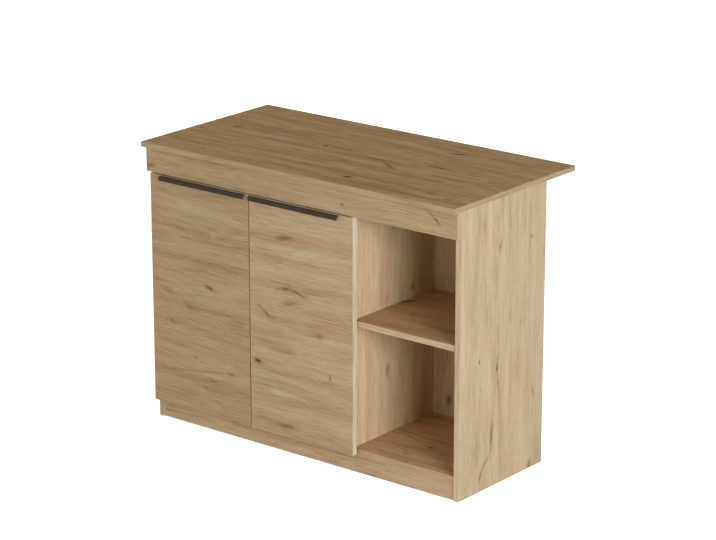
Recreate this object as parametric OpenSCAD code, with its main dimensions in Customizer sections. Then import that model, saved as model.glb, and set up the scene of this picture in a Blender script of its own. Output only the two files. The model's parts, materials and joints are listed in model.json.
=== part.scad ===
// Kitchen bar cabinet: a deep worktop on a panel carcass, with a two-door cupboard and an open shelf bay.
// Millimetres. The origin is on the floor under the middle of the worktop. +Z is up, +Y runs to the back.

/* [Worktop] */
// Length of the worktop
worktop_w = 1200; // [1000:10:1500]
// Depth of the worktop, front edge to bar edge
worktop_d = 600; // [540:10:750]
// Thickness of the worktop
worktop_t = 16; // [16:1:38]
// Height of the worktop's upper face above the floor
total_h = 900; // [820:5:960]

/* [Carcass] */
// Thickness of every carcass board
board_t = 18; // [16:1:19]
// Worktop end to the left side panel
left_inset = 22; // [10:1:60]
// Worktop end to the right side panel
right_inset = 2; // [0:1:40]
// Worktop front edge to the front edges of the side panels
front_setback = 36; // [30:1:60]
// Depth of the side panels, front edge to back edge
carcass_d = 420; // [360:10:480]
// How far the shelf, bottom and plinth stand behind the side panels' front edges
front_recess = 4; // [2:1:12]
// How far the back panel stands inside the side panels' back edges
back_recess = 4; // [0:1:20]
// Height of the underside of the bottom panel
plinth_h = 59; // [50:1:100]
// Clear width of the open bay
bay_w = 376; // [300:1:420]
// Height of the bay shelf's upper face
bay_shelf_z = 479; // [380:1:560]
// Height of the cupboard shelf's upper face
cupboard_shelf_z = 440; // [300:1:520]
// How far the cupboard shelf stands behind the front edges
cupboard_shelf_setback = 30; // [20:1:80]
// Gap at each end of the cupboard shelf
shelf_end_gap = 1; // [0.5:0.5:2]
// Depth of the flat rails under the worktop
rail_d = 80; // [60:5:100]

/* [Apron] */
// Height of the apron under the worktop's front edge
apron_h = 80; // [60:1:110]
// Worktop end to the apron's left end
apron_left_inset = 5; // [0:1:20]

/* [Doors] */
// Thickness of the doors
door_t = 18; // [16:1:19]
// Gap between the doors' backs and the carcass front
door_gap = 2.5; // [2:0.1:3]
// Gap between the doors where they meet
meeting_gap = 3; // [2:0.5:4]
// Gap between the apron and the doors
door_top_gap = 2.5; // [2.5:0.5:5]
// How far the doors come down over the bottom panel's front edge
door_bottom_lap = 15.5; // [12:0.5:16]
// Left panel's outer face to the left door's edge
left_reveal = 0.5; // [0:0.5:3]
// How far the right door reaches past the partition's bay face
bay_overlap = 17.5; // [4:0.5:18]

/* [Handles] */
// Length of each handle profile, where the door is wide enough for it
handle_len = 341; // [200:1:350]
// Left handle's end to the edge where the doors meet
left_handle_margin = 13; // [2:1:20]
// Right handle's end to the edge where the doors meet
right_handle_margin = 4; // [2:1:20]
// How far the handle's lip stands in front of the door
handle_proud = 11.5; // [9:0.5:14]
// Height of the handle's lip
handle_lip_h = 13; // [11:0.5:18]
// Wall of the handle profile
handle_wall = 1.6; // [1.2:0.1:2]
// Door's upper edge down to the handle's top plate
handle_drop = 2.3; // [2.3:0.1:4]
// How far the handle's top plate is let into the door
handle_leg = 12; // [10:0.5:13]

/* [Pivot hinges] */
// Radius of the hinge pins
pin_r = 2.5; // [2:0.1:3]
// Length of a hinge pin inside its bush
pin_len = 11; // [8:1:16]
// Thickness of the hinge plates
plate_t = 1.6; // [1.2:0.1:1.8]
// Height of the plate's leg that is let into the panel's edge
leg_h = 60; // [56:1:70]
// Wall of the nylon bushes
bush_wall = 1.4; // [1:0.1:1.6]

/* [Fittings] */
// Radius of the cam locks
cam_r = 7.5; // [6:0.5:7.5]
// Depth of the cam locks in the board
cam_depth = 13; // [11:0.5:14]
// Board end to the cam lock's centre
cam_inset = 34; // [24:1:40]
// Radius of the cam bolts' shafts
bolt_r = 3; // [2.5:0.1:3.2]
// Depth of bolts and dowels in a standing panel
panel_hole = 8; // [6:0.5:8]
// Radius of the wooden dowels
dowel_r = 4; // [3:0.5:4]
// Length of the wooden dowels
dowel_len = 30; // [25:1:40]
// Distance between a cam lock and its dowel
fitting_pitch = 32; // [25:1:32]
// Radius of the shelf pins
shelf_pin_r = 2.5; // [2:0.1:3]
// Distance between shelf pin holes
pin_hole_pitch = 32; // [25:1:40]
// Number of shelf pin holes above and below the one in use
pin_hole_count = 3; // [1:1:4]
// Radius of the wood screws' shanks
screw_r = 1.75; // [1.5:0.05:2.25]
// Height of the floor glides
glide_h = 2; // [2:0.5:5]
// Radius of the floor glides
glide_r = 8; // [6:0.5:9]

/* [Hidden] */
$fn = 48;

// Colours: oak-look boards, their paler ends, and the metal and plastic fittings
oak = "#B0946C";
oak_side = "#C7B08C";
oak_top = "#8F7654";
dark_metal = "#3B3833";
steel = "#B9BCBE";
nylon = "#D8D4C8";
magnet_black = "#2B2B2B";
beech = "#D3B483";

// Clearances between things that fit each other
eps = 0.01;
bore_fit = 0.05;
run_fit = 0.05;
board_fit = 0.3;
swing_clear = 0.4;

// Planes of the worktop and the carcass
x_top_l = -worktop_w / 2;
x_top_r = worktop_w / 2;
y_top_f = -worktop_d / 2;
z_carcass = total_h - worktop_t;
x_l = x_top_l + left_inset;
x_l_in = x_l + board_t;
x_r = x_top_r - right_inset;
x_r_in = x_r - board_t;
y_f = y_top_f + front_setback;
y_b = y_f + carcass_d;
y_rec = y_f + front_recess;
y_back_out = y_b - back_recess;
y_back_in = y_back_out - board_t;
x_bay = x_r_in - bay_w;
x_part = x_bay - board_t;
z_bottom = plinth_h + board_t;
z_rail = z_carcass - board_t;
inner_w = x_r_in - x_l_in;
cupboard_w = x_part - x_l_in;

// Apron and doors
z_apron = z_carcass - apron_h;
y_apron = y_f - board_t;
z_door_top = z_apron - door_top_gap;
z_door_low = z_bottom - door_bottom_lap;
door_h = z_door_top - z_door_low;
y_door_back = y_f - door_gap;
y_door = y_door_back - door_t;
x_door_l = x_l + left_reveal;
x_door_r = x_bay + bay_overlap;
door_w = (x_door_r - x_door_l - meeting_gap) / 2;
x_meet = (x_door_l + x_door_r) / 2;

// Hinge axes: in the middle of the door's thickness, as far from its edge as the swing allows
pivot_edge = sqrt(pow(door_t / 2 + door_gap - swing_clear, 2) - pow(door_t / 2, 2));
y_pivot = y_door + door_t / 2;
x_pivot_l = x_door_l + pivot_edge;
x_pivot_r = x_door_r - pivot_edge;
ear_gap = 0.6;
z_ear_top = z_door_top + ear_gap;
z_ear_low = z_door_low - ear_gap;
leg_margin = 1;
leg_w = board_t - 2 * leg_margin;
leg_holes = [leg_h - 32, leg_h - 10];
z_leg_top = z_ear_top + plate_t;
z_leg_low = z_ear_low - plate_t;
ear_r = pin_r + 3;
bush_r = pin_r + run_fit + bush_wall;
bush_flange_r = bush_r + 0.8;
bush_len = pin_len + 1;

// Screw forms
small_screw_len = 15;
strike_screw_len = 12;
edge_screw_len = 30;
back_screw_len = 42;
worktop_screw_len = board_t + 10;

// Radius of a cam bolt's head
bolt_head_r = bolt_r + 0.5;

// Rows of fittings along the depth
rail_front_y = y_f;
rail_rear_y = y_back_in - rail_d;
rail_cam_edge = 24;
bottom_d = y_back_out - y_rec;
bay_shelf_d = y_back_in - y_rec;
front_fit_y = y_rec + 45;
rear_fit_y = y_back_in - 45;

// Shelf pins
pin_row_front = y_rec + 50;
pin_row_rear = y_back_in - 50;
shelf_pin_len = 16;
shelf_pin_in = 8;
z_pin = cupboard_shelf_z - board_t - shelf_pin_r;

// Magnetic catch
catch_w = 40;
catch_d = 26;
catch_h = 13;
catch_inset = 30;
magnet_w = 26;
magnet_h = 8;
strike_t = 1.2;
strike_w = 34;
strike_h = 12;
strike_gap = 0.3;
strike_z = z_bottom + 2;
y_strike = y_door_back + strike_t;
y_catch = y_strike + strike_gap;
catch_screw_x = catch_w * 0.36;
y_catch_screw = y_catch + catch_d * 0.68;

// Bumpers
bumper_r = 4;
bumper_h = door_gap - board_fit;
bumper_inset = 90;

// Corner braces
brace_leg = 30;
brace_w = 18;
brace_t = 2;

// Fitting records: [board face x, direction into the board, y, z of the board's middle]
function ends(x0, x1, y, z) = [[x0, 1, y, z], [x1, -1, y, z]];
z_bottom_mid = plinth_h + board_t / 2;
z_shelf_mid = bay_shelf_z - board_t / 2;
z_rail_mid = z_rail + board_t / 2;
cam_places = concat(
    ends(x_l_in, x_r_in, front_fit_y, z_bottom_mid),
    ends(x_l_in, x_r_in, rear_fit_y, z_bottom_mid),
    ends(x_bay, x_r_in, front_fit_y, z_shelf_mid),
    ends(x_bay, x_r_in, rear_fit_y, z_shelf_mid),
    ends(x_l_in, x_part, rail_front_y + rail_cam_edge, z_rail_mid),
    ends(x_l_in, x_part, rail_rear_y + rail_d - rail_cam_edge, z_rail_mid),
    ends(x_bay, x_r_in, rail_front_y + rail_cam_edge, z_rail_mid),
    ends(x_bay, x_r_in, rail_rear_y + rail_d - rail_cam_edge, z_rail_mid)
);
function dowel_y(p) = p[2] < (y_f + y_b) / 2 ? p[2] + fitting_pitch : p[2] - fitting_pitch;
dowel_places = [for (p = cam_places) [p[0], p[1], dowel_y(p), p[3]]];

// Upright dowels that hold the partition on the bottom panel
part_dowel_y = [y_f + 60, (y_f + y_back_in) / 2, y_back_in - 60];
// Heights of the dowels between the back panel and the side panels
back_dowel_z = [z_bottom + 90, (z_bottom + z_carcass) / 2, z_carcass - 90];

// Screws through the back panel: [x, z]
back_screw_places = concat(
    [for (z = [z_bottom + 120, (z_bottom + z_rail) / 2 + 50, z_rail - 120]) [x_part + board_t / 2, z]],
    [for (k = [0.25, 0.75]) [x_l_in + k * cupboard_w, z_rail_mid]],
    [[x_bay + bay_w / 2, z_rail_mid]],
    [for (k = [0.25, 0.75]) [x_bay + k * bay_w, z_shelf_mid]]
);
// Screws through the rails into the worktop: [x, y]
worktop_screw_places = concat(
    [for (k = [0.2, 0.8], y = [rail_front_y, rail_rear_y]) [x_l_in + k * cupboard_w, y + rail_d / 2]],
    [for (k = [0.3, 0.7], y = [rail_front_y, rail_rear_y]) [x_bay + k * bay_w, y + rail_d / 2]]
);
// Corner braces behind the apron: x of each brace's middle
brace_places = concat(
    [for (k = [0.1, 0.5, 0.9]) x_l_in + k * cupboard_w],
    [for (k = [0.2, 0.8]) x_bay + k * bay_w]
);
// Floor glides: [x, y]
glide_edge = 30;
rear_plinth_y = y_back_out - board_t;
glide_places = concat(
    [for (x = [x_l + board_t / 2, x_r - board_t / 2], y = [y_f + glide_edge, y_b - glide_edge]) [x, y]],
    [
        for (x = [x_l_in + cupboard_w / 2, x_part + board_t / 2], y = [y_rec, rear_plinth_y])
            [x, y + board_t / 2]
    ]
);

// A plain board from one corner
module board(corner, size) {
    translate(corner) cube(size);
}

// A countersunk wood screw pointing along +Z, with its head's flat face at the origin
module wood_screw(length, r = screw_r) {
    head_r = r * 2;
    difference() {
        rotate_extrude()
            polygon([
                [0, 0], [head_r, 0], [head_r, 0.3], [r, head_r - r + 0.3],
                [r, length - 2 * r], [0.4, length], [0, length]
            ]);
        for (a = [0, 90])
            rotate([0, 0, a]) translate([-r * 1.1, -r * 0.22, -eps]) cube([r * 2.2, r * 0.44, r * 0.6]);
    }
}

// The hole for such a screw, a little larger all round
module screw_hole(length, r = screw_r) {
    head_r = r * 2 + bore_fit;
    hole_r = r + bore_fit;
    rotate_extrude()
        polygon([
            [0, -eps], [head_r, -eps], [head_r, 0.3 + bore_fit],
            [hole_r, head_r - hole_r + 0.3 + bore_fit], [hole_r, length + 0.5], [0, length + 0.5]
        ]);
}

// Turns a +Z tool to point along the given direction
module toward(dir) {
    if (dir == "x") rotate([0, 90, 0]) children();
    else if (dir == "-x") rotate([0, -90, 0]) children();
    else if (dir == "y") rotate([-90, 0, 0]) children();
    else if (dir == "-y") rotate([90, 0, 0]) children();
    else if (dir == "-z") rotate([180, 0, 0]) children();
    else children();
}

// Blind holes in a standing panel for the bolts and dowels that end at face x
module panel_bores(x, side) {
    for (p = cam_places)
        if (abs(p[0] - x) < eps && p[1] == side)
            translate([x, p[2], p[3]]) toward(side > 0 ? "-x" : "x")
                translate([0, 0, -eps]) cylinder(r = bolt_r - 0.5 + bore_fit, h = panel_hole + 0.3);
    for (p = dowel_places)
        if (abs(p[0] - x) < eps && p[1] == side)
            translate([x, p[2], p[3]]) toward(side > 0 ? "-x" : "x")
                translate([0, 0, -eps]) cylinder(r = dowel_r + bore_fit, h = panel_hole + 0.3);
}

// Whether a fitting belongs to the lying board between x0 and x1, and y0 and y1, at height z_mid
function on_board(p, x0, x1, y0, y1, z_mid) =
    abs(p[3] - z_mid) < eps && p[2] > y0 && p[2] < y1 && (abs(p[0] - x0) < eps || abs(p[0] - x1) < eps);

// Bores in a lying board: the cam pocket from below, the bolt's way in from the end, the dowel hole
module board_bores(x0, x1, y0, y1, z_mid) {
    for (p = cam_places)
        if (on_board(p, x0, x1, y0, y1, z_mid)) {
            translate([p[0] + p[1] * cam_inset, p[2], z_mid - board_t / 2 - eps])
                cylinder(r = cam_r + bore_fit, h = cam_depth + 0.2);
            translate([p[0], p[2], p[3]]) toward(p[1] > 0 ? "x" : "-x")
                translate([0, 0, -1]) cylinder(r = bolt_r + 1, h = cam_inset + 1);
        }
    for (p = dowel_places)
        if (on_board(p, x0, x1, y0, y1, z_mid))
            translate([p[0], p[2], p[3]]) toward(p[1] > 0 ? "x" : "-x")
                translate([0, 0, -1]) cylinder(r = dowel_r + bore_fit, h = dowel_len - panel_hole + 1.3);
}

module worktop() {
    color(oak_top) difference() {
        board([x_top_l, y_top_f, z_carcass], [worktop_w, worktop_d, worktop_t]);
        for (p = worktop_screw_places)
            translate([p[0], p[1], z_rail]) screw_hole(worktop_screw_len);
    }
}

// The apron overlays the front edges of the side panels
module front_apron() {
    color(oak) difference() {
        board(
            [x_top_l + apron_left_inset, y_apron, z_apron],
            [x_r - x_top_l - apron_left_inset, board_t, apron_h]
        );
        for (x = brace_places)
            translate([x, y_f + brace_t, z_rail - brace_leg * 0.62])
                toward("-y") screw_hole(small_screw_len);
    }
}

// Notches in a panel's front edge for the legs of its two hinge plates, with their screw holes.
// The lower notch starts at z_start, where the panel starts above the plate's ear.
module leg_notches(x, z_start) {
    translate([x + leg_margin - bore_fit, y_f - eps, z_leg_top - leg_h - bore_fit])
        cube([leg_w + 2 * bore_fit, plate_t + eps, leg_h + 2 * bore_fit]);
    translate([x + leg_margin - bore_fit, y_f - eps, z_start - bore_fit])
        cube([leg_w + 2 * bore_fit, plate_t + eps, z_leg_low + leg_h - z_start + 2 * bore_fit]);
    leg_screw_places(x) screw_hole(edge_screw_len);
}

// Puts a screw or its hole at each of the four places on a panel's hinge plates
module leg_screw_places(x) {
    for (h = leg_holes, z = [z_leg_top - h, z_leg_low + h])
        translate([x + board_t / 2, y_f, z]) toward("y") children();
}

module left_side_panel() {
    color(oak_side) difference() {
        board([x_l, y_f, glide_h], [board_t, carcass_d, z_carcass - glide_h]);
        panel_bores(x_l_in, 1);
        leg_notches(x_l, z_leg_low);
        for (y = [pin_row_front, pin_row_rear], k = [-pin_hole_count : pin_hole_count])
            translate([x_l_in, y, z_pin + k * pin_hole_pitch]) toward("-x")
                translate([0, 0, -eps]) cylinder(r = shelf_pin_r + bore_fit, h = shelf_pin_in + 0.3);
        for (z = back_dowel_z)
            translate([x_l_in, y_back_in + board_t / 2, z]) toward("-x")
                translate([0, 0, -eps]) cylinder(r = dowel_r + bore_fit, h = panel_hole + 0.3);
        for (y = [y_f + glide_edge, y_b - glide_edge])
            translate([x_l + board_t / 2, y, glide_h - eps]) cylinder(r = 1 + bore_fit, h = 12.3);
    }
}

module right_side_panel() {
    color(oak_side) difference() {
        board([x_r_in, y_f, glide_h], [board_t, carcass_d, z_carcass - glide_h]);
        panel_bores(x_r_in, -1);
        for (z = back_dowel_z)
            translate([x_r_in, y_back_in + board_t / 2, z]) toward("x")
                translate([0, 0, -eps]) cylinder(r = dowel_r + bore_fit, h = panel_hole + 0.3);
        for (y = [y_f + glide_edge, y_b - glide_edge])
            translate([x_r - board_t / 2, y, glide_h - eps]) cylinder(r = 1 + bore_fit, h = 12.3);
    }
}

// The partition stands on the bottom panel between the cupboard and the open bay
module partition() {
    color(oak_side) difference() {
        board([x_part, y_f, z_bottom], [board_t, y_back_in - y_f, z_carcass - z_bottom]);
        panel_bores(x_bay, 1);
        panel_bores(x_part, -1);
        leg_notches(x_part, z_bottom);
        for (y = [pin_row_front, pin_row_rear], k = [-pin_hole_count : pin_hole_count])
            translate([x_part, y, z_pin + k * pin_hole_pitch]) toward("x")
                translate([0, 0, -eps]) cylinder(r = shelf_pin_r + bore_fit, h = shelf_pin_in + 0.3);
        for (y = part_dowel_y)
            translate([x_part + board_t / 2, y, z_bottom - eps])
                cylinder(r = dowel_r + bore_fit, h = dowel_len - panel_hole + 0.3);
        for (p = back_screw_places)
            translate([p[0], y_back_out, p[1]]) toward("-y") screw_hole(back_screw_len);
    }
}

module bottom_panel() {
    color(oak) difference() {
        board([x_l_in, y_rec, plinth_h], [inner_w, bottom_d, board_t]);
        board_bores(x_l_in, x_r_in, y_rec, y_back_out, z_bottom_mid);
        for (y = part_dowel_y)
            translate([x_part + board_t / 2, y, z_bottom - panel_hole - 0.3])
                cylinder(r = dowel_r + bore_fit, h = panel_hole + 1);
        for (x = [x_meet - catch_inset, x_meet + catch_inset], k = [-1, 1])
            translate([x + k * catch_screw_x, y_catch_screw, z_bottom + 3])
                toward("-z") screw_hole(small_screw_len);
    }
}

// The back panel stands on the bottom panel between the side panels
module back_panel() {
    color(oak_side) difference() {
        board([x_l_in, y_back_in, z_bottom], [inner_w, board_t, z_carcass - z_bottom]);
        for (p = back_screw_places)
            translate([p[0], y_back_out, p[1]]) toward("-y") screw_hole(back_screw_len);
        for (z = back_dowel_z) {
            translate([x_l_in, y_back_in + board_t / 2, z]) toward("x")
                translate([0, 0, -1]) cylinder(r = dowel_r + bore_fit, h = dowel_len - panel_hole + 1.3);
            translate([x_r_in, y_back_in + board_t / 2, z]) toward("-x")
                translate([0, 0, -1]) cylinder(r = dowel_r + bore_fit, h = dowel_len - panel_hole + 1.3);
        }
    }
}

// Holes for the glides' nails in a plinth board whose front face is at y
module plinth_nail_holes(y) {
    for (p = glide_places)
        if (abs(p[1] - y - board_t / 2) < eps)
            translate([p[0], p[1], glide_h - eps]) cylinder(r = 1 + bore_fit, h = 12.3);
}

module front_plinth() {
    color(oak) difference() {
        board([x_l_in, y_rec, glide_h], [inner_w, board_t, plinth_h - glide_h]);
        plinth_nail_holes(y_rec);
    }
}

module rear_plinth() {
    color(oak) difference() {
        board([x_l_in, rear_plinth_y, glide_h], [inner_w, board_t, plinth_h - glide_h]);
        plinth_nail_holes(rear_plinth_y);
    }
}

// A cross board under the partition carries its load down to the floor
module plinth_support() {
    color(oak)
        board(
            [x_part, y_rec + board_t, glide_h],
            [board_t, rear_plinth_y - y_rec - board_t, plinth_h - glide_h]
        );
}

// A flat rail under the worktop, from face x0 to face x1, with its front edge at y
module flat_rail(x0, x1, y) {
    difference() {
        board([x0, y, z_rail], [x1 - x0, rail_d, board_t]);
        board_bores(x0, x1, y, y + rail_d, z_rail_mid);
        for (p = worktop_screw_places)
            translate([p[0], p[1], z_rail]) screw_hole(worktop_screw_len);
        for (x = brace_places)
            translate([x, y_f + brace_leg * 0.62, z_rail - brace_t]) screw_hole(small_screw_len);
        for (p = back_screw_places)
            translate([p[0], y_back_out, p[1]]) toward("-y") screw_hole(back_screw_len);
    }
}

module cupboard_front_rail() {
    color(oak) flat_rail(x_l_in, x_part, rail_front_y);
}

module cupboard_rear_rail() {
    color(oak) flat_rail(x_l_in, x_part, rail_rear_y);
}

module bay_front_rail() {
    color(oak) flat_rail(x_bay, x_r_in, rail_front_y);
}

module bay_rear_rail() {
    color(oak) flat_rail(x_bay, x_r_in, rail_rear_y);
}

module bay_shelf() {
    color(oak) difference() {
        board([x_bay, y_rec, bay_shelf_z - board_t], [bay_w, bay_shelf_d, board_t]);
        board_bores(x_bay, x_r_in, y_rec, y_back_in, z_shelf_mid);
        for (p = back_screw_places)
            translate([p[0], y_back_out, p[1]]) toward("-y") screw_hole(back_screw_len);
    }
}

// The cupboard's shelf lies loose on its four pins
module cupboard_shelf() {
    color(oak)
        board(
            [x_l_in + shelf_end_gap, y_f + cupboard_shelf_setback, cupboard_shelf_z - board_t],
            [
                cupboard_w - 2 * shelf_end_gap,
                y_back_in - y_f - cupboard_shelf_setback - shelf_end_gap,
                board_t
            ]
        );
}

// One shelf pin along +Z: a shank in the panel and a shoulder outside it
module shelf_pin() {
    translate([0, 0, -shelf_pin_in]) cylinder(r = shelf_pin_r, h = shelf_pin_len);
    cylinder(r = shelf_pin_r + 1.2, h = shelf_end_gap * 0.8);
}

module shelf_pins() {
    color(steel) for (y = [pin_row_front, pin_row_rear]) {
        translate([x_l_in, y, z_pin]) toward("x") shelf_pin();
        translate([x_part, y, z_pin]) toward("-x") shelf_pin();
    }
}

// A door board with its bush holes at x_pin and its screw holes for the handle and the strike
module door_board(x0, x_pin, x_handle, x_strike) {
    difference() {
        board([x0, y_door, z_door_low], [door_w, door_t, door_h]);
        for (z = [z_door_top - bush_len - 0.3, z_door_low - eps])
            translate([x_pin, y_pivot, z]) cylinder(r = bush_r + bore_fit, h = bush_len + 0.3 + eps);
        board(
            [x_handle - bore_fit, y_door - eps, z_handle_leg],
            [handle_l + 2 * bore_fit, handle_leg + eps + bore_fit, handle_wall + bore_fit]
        );
        handle_screw_places(x_handle) screw_hole(handle_screw_len);
        translate([x_strike, y_strike, strike_z + strike_h / 2])
            toward("-y") screw_hole(strike_screw_len);
    }
}

module left_door() {
    color(oak) door_board(x_door_l, x_pivot_l, x_handle_l, x_meet - catch_inset);
}

module right_door() {
    color(oak) door_board(x_door_r - door_w, x_pivot_r, x_handle_r, x_meet + catch_inset);
}

// Handles: a metal angle whose top plate is let into a groove in the door's front and screwed from above
hinge_zone = bay_overlap + board_t + 2;
handle_l = min(handle_len, door_w - hinge_zone - max(left_handle_margin, right_handle_margin));
x_handle_l = x_meet - meeting_gap / 2 - left_handle_margin - handle_l;
x_handle_r = x_meet + meeting_gap / 2 + right_handle_margin;
y_handle = y_door - handle_proud;
y_handle_screw = y_door + handle_leg * 0.6;
z_handle_top = z_door_top - handle_drop;
z_handle_leg = z_handle_top - handle_wall;
z_handle_low = z_handle_top - handle_lip_h;
handle_screw_len = 18;
lip_return = 3;

// Puts a screw or its hole at three places along a handle
module handle_screw_places(x) {
    for (k = [0.12, 0.5, 0.88])
        translate([x + k * handle_l, y_handle_screw, z_door_top]) toward("-z") children();
}

// Section of the profile in the YZ plane: the lip, its small return and the top plate
module handle_section() {
    polygon([
        [y_handle, z_handle_top],
        [y_handle, z_handle_low],
        [y_handle + lip_return, z_handle_low],
        [y_handle + lip_return, z_handle_low + handle_wall],
        [y_handle + handle_wall, z_handle_low + handle_wall],
        [y_handle + handle_wall, z_handle_leg],
        [y_door + handle_leg, z_handle_leg],
        [y_door + handle_leg, z_handle_top]
    ]);
}

module handle(x) {
    difference() {
        translate([x, 0, 0]) rotate([90, 0, 90]) linear_extrude(handle_l) handle_section();
        handle_screw_places(x) screw_hole(handle_screw_len);
    }
}

module left_handle() {
    color(dark_metal) handle(x_handle_l);
}

module right_handle() {
    color(dark_metal) handle(x_handle_r);
}

module left_handle_screws() {
    color(steel) handle_screw_places(x_handle_l) wood_screw(handle_screw_len);
}

module right_handle_screws() {
    color(steel) handle_screw_places(x_handle_r) wood_screw(handle_screw_len);
}

// Outline of a hinge plate's ear, from the panel's edge out to the pin
module ear_outline(x_panel, x_pin) {
    difference() {
        union() {
            translate([x_pin, y_pivot]) circle(r = ear_r);
            polygon([
                [x_panel + leg_margin, y_f + plate_t],
                [x_panel + leg_margin, y_f - 1],
                [x_pin - ear_r * 0.8, y_pivot - ear_r * 0.6],
                [x_pin + ear_r * 0.8, y_pivot - ear_r * 0.6],
                [max(x_pin + ear_r, x_panel + leg_margin + leg_w), y_f - 1],
                [x_panel + leg_margin + leg_w, y_f - bore_fit],
                [x_panel + leg_margin + leg_w, y_f + plate_t]
            ]);
        }
        translate([x_pin, y_pivot]) circle(r = pin_r + 0.02);
    }
}

// A hinge plate: a leg let into the panel's front edge and an ear that carries the pin.
// z_ear and z_leg are the lowest points of the ear and of the leg.
module hinge_plate(x_panel, x_pin, z_ear, z_leg) {
    translate([0, 0, z_ear]) linear_extrude(plate_t) ear_outline(x_panel, x_pin);
    difference() {
        translate([x_panel + leg_margin, y_f, z_leg]) cube([leg_w, plate_t, leg_h]);
        leg_screw_places(x_panel) screw_hole(edge_screw_len);
    }
}

module left_upper_hinge_plate() {
    color(steel) hinge_plate(x_l, x_pivot_l, z_ear_top, z_leg_top - leg_h);
}

module left_lower_hinge_plate() {
    color(steel) hinge_plate(x_l, x_pivot_l, z_leg_low, z_leg_low);
}

module right_upper_hinge_plate() {
    color(steel) hinge_plate(x_part, x_pivot_r, z_ear_top, z_leg_top - leg_h);
}

module right_lower_hinge_plate() {
    color(steel) hinge_plate(x_part, x_pivot_r, z_leg_low, z_leg_low);
}

// Each pin is riveted in its ear and turns in the door's bush
module hinge_pins() {
    color(steel) for (x = [x_pivot_l, x_pivot_r]) {
        translate([x, y_pivot, z_door_top - pin_len]) cylinder(r = pin_r, h = pin_len + ear_gap + plate_t);
        translate([x, y_pivot, z_leg_low]) cylinder(r = pin_r, h = pin_len + ear_gap + plate_t);
    }
}

module hinge_plate_screws() {
    color(steel) for (x = [x_l, x_part])
        leg_screw_places(x) wood_screw(edge_screw_len);
}

// Flanged nylon bushes pressed into the door's upper and lower edges
module door_bushes(x) {
    flange_h = ear_gap - run_fit;
    difference() {
        union() {
            translate([x, y_pivot, z_door_top - bush_len]) cylinder(r = bush_r, h = bush_len);
            translate([x, y_pivot, z_door_top]) cylinder(r = bush_flange_r, h = flange_h);
        }
        translate([x, y_pivot, z_door_top - bush_len + 0.5])
            cylinder(r = pin_r + run_fit, h = bush_len + 1);
    }
    difference() {
        union() {
            translate([x, y_pivot, z_door_low]) cylinder(r = bush_r, h = bush_len);
            translate([x, y_pivot, z_door_low - flange_h]) cylinder(r = bush_flange_r, h = flange_h);
        }
        translate([x, y_pivot, z_door_low - 1]) cylinder(r = pin_r + run_fit, h = bush_len + 0.5);
    }
}

module left_door_bushes() {
    color(nylon) door_bushes(x_pivot_l);
}

module right_door_bushes() {
    color(nylon) door_bushes(x_pivot_r);
}

// Magnetic catches stand on the bottom panel behind the doors' meeting edges
module catch_body(x) {
    difference() {
        board([x - catch_w / 2, y_catch + 1, z_bottom], [catch_w, catch_d - 1, catch_h]);
        board(
            [x - magnet_w / 2 - bore_fit, y_catch - 1, z_bottom + 2],
            [magnet_w + 2 * bore_fit, 13, magnet_h + 2 * bore_fit]
        );
        for (k = [-1, 1]) {
            board([x + k * catch_screw_x - 5, y_catch_screw - 6, z_bottom + 3], [10, 20, catch_h]);
            translate([x + k * catch_screw_x, y_catch_screw, z_bottom + 3])
                toward("-z") screw_hole(small_screw_len);
        }
    }
}

module magnet_catches() {
    color(nylon) for (x = [x_meet - catch_inset, x_meet + catch_inset]) catch_body(x);
}

module catch_magnets() {
    color(magnet_black) for (x = [x_meet - catch_inset, x_meet + catch_inset])
        board([x - magnet_w / 2, y_catch, z_bottom + 2 + bore_fit], [magnet_w, 12, magnet_h]);
}

module catch_screws() {
    color(steel) for (x = [x_meet - catch_inset, x_meet + catch_inset], k = [-1, 1])
        translate([x + k * catch_screw_x, y_catch_screw, z_bottom + 3])
            toward("-z") wood_screw(small_screw_len);
}

module strike_plate(x) {
    difference() {
        board([x - strike_w / 2, y_door_back, strike_z], [strike_w, strike_t, strike_h]);
        translate([x, y_strike, strike_z + strike_h / 2]) toward("-y") screw_hole(strike_screw_len);
    }
}

module left_strike_plate() {
    color(steel) strike_plate(x_meet - catch_inset);
}

module right_strike_plate() {
    color(steel) strike_plate(x_meet + catch_inset);
}

module strike_screw(x) {
    translate([x, y_strike, strike_z + strike_h / 2]) toward("-y") wood_screw(strike_screw_len);
}

module left_strike_screw() {
    color(steel) strike_screw(x_meet - catch_inset);
}

module right_strike_screw() {
    color(steel) strike_screw(x_meet + catch_inset);
}

// Soft bumpers on a door's back, against the front edge of the panel it closes on
module door_bumpers(x) {
    for (z = [z_door_low + bumper_inset, z_door_top - bumper_inset])
        translate([x, y_door_back, z])
            toward("y") cylinder(r1 = bumper_r, r2 = bumper_r * 0.75, h = bumper_h);
}

module left_door_bumpers() {
    color(nylon) door_bumpers(x_l_in - bumper_r - 1);
}

module right_door_bumpers() {
    color(nylon) door_bumpers(x_part + board_t / 2);
}

// Cam locks: each drum lies in its pocket from below and grips the head of its bolt
module cam_locks() {
    color(steel) for (p = cam_places)
        difference() {
            translate([p[0] + p[1] * cam_inset, p[2], p[3] - board_t / 2])
                cylinder(r = cam_r, h = cam_depth);
            translate([p[0], p[2], p[3]])
                toward(p[1] > 0 ? "x" : "-x") cylinder(r = bolt_head_r + 0.2, h = cam_inset + 2);
            translate([p[0] + p[1] * cam_inset, p[2], p[3] - board_t / 2 - eps])
                for (a = [0, 90])
                    rotate([0, 0, a]) translate([-3.5, -0.7, 0]) cube([7, 1.4, 2]);
        }
}

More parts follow.
